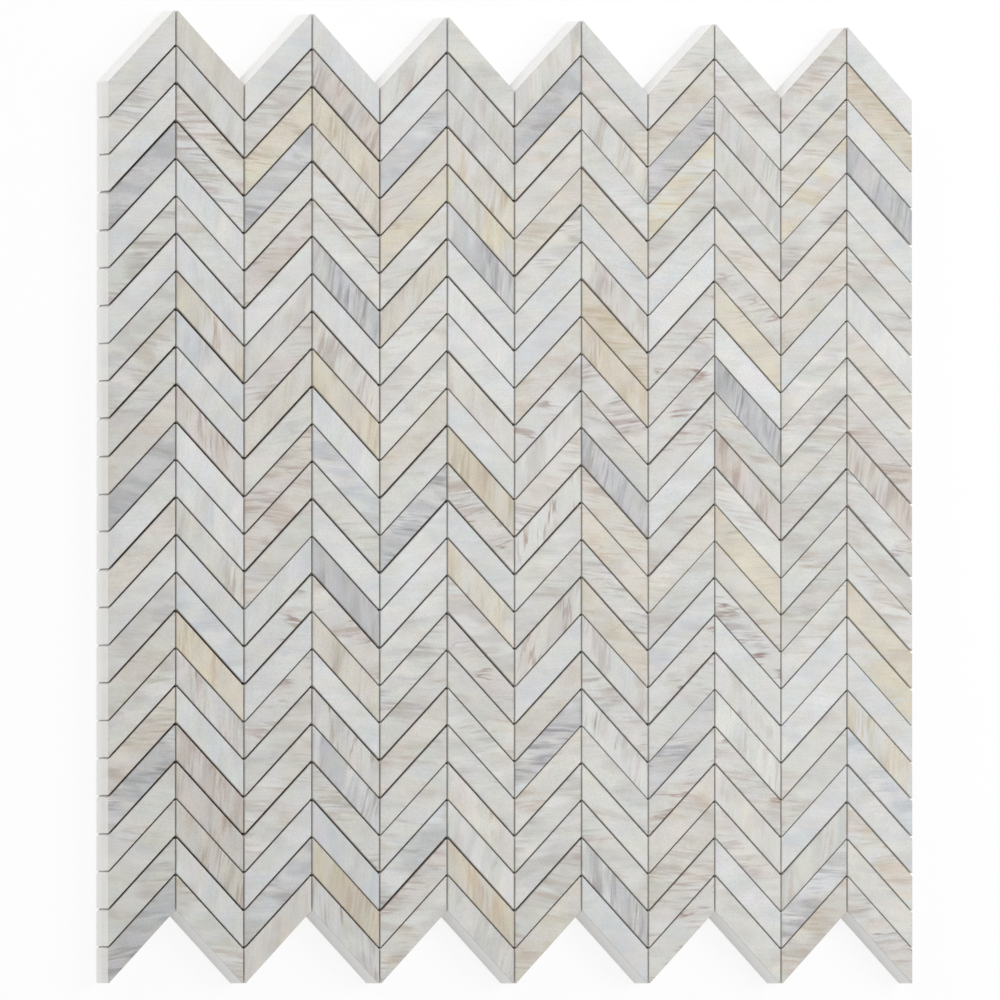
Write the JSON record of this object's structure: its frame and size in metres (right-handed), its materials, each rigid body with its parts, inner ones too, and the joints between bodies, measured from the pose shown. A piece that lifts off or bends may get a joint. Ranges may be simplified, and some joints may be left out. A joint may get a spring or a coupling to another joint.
{
  "type": "marble mosaic tile",
  "caption": "Flat sheet of polished marble chips in chevron bond with open joints and zigzag ends, held together by a mesh glued to the back, for tiling walls and floors.",
  "frame": {"origin": "middle of the back of the mesh, on the surface that the sheet lies on", "axes": "+X across the columns, +Y up the columns, +Z out of the polished face"},
  "size_m": [0.3044, 0.3284, 0.01],
  "materials": {
    "polished_marble": "polished",
    "mesh_yarn": "coated glass yarn"
  },
  "bodies": {
    "root": {"chip_column_01": "polished_marble", "chip_column_02": "polished_marble", "chip_column_03": "polished_marble", "chip_column_04": "polished_marble", "chip_column_05": "polished_marble", "chip_column_06": "polished_marble", "chip_column_07": "polished_marble", "chip_column_08": "polished_marble", "chip_column_09": "polished_marble", "chip_column_10": "polished_marble", "chip_column_11": "polished_marble", "chip_column_12": "polished_marble", "mesh_warp_yarns": "mesh_yarn", "mesh_weft_yarns": "mesh_yarn"}
  },
  "joints": []
}
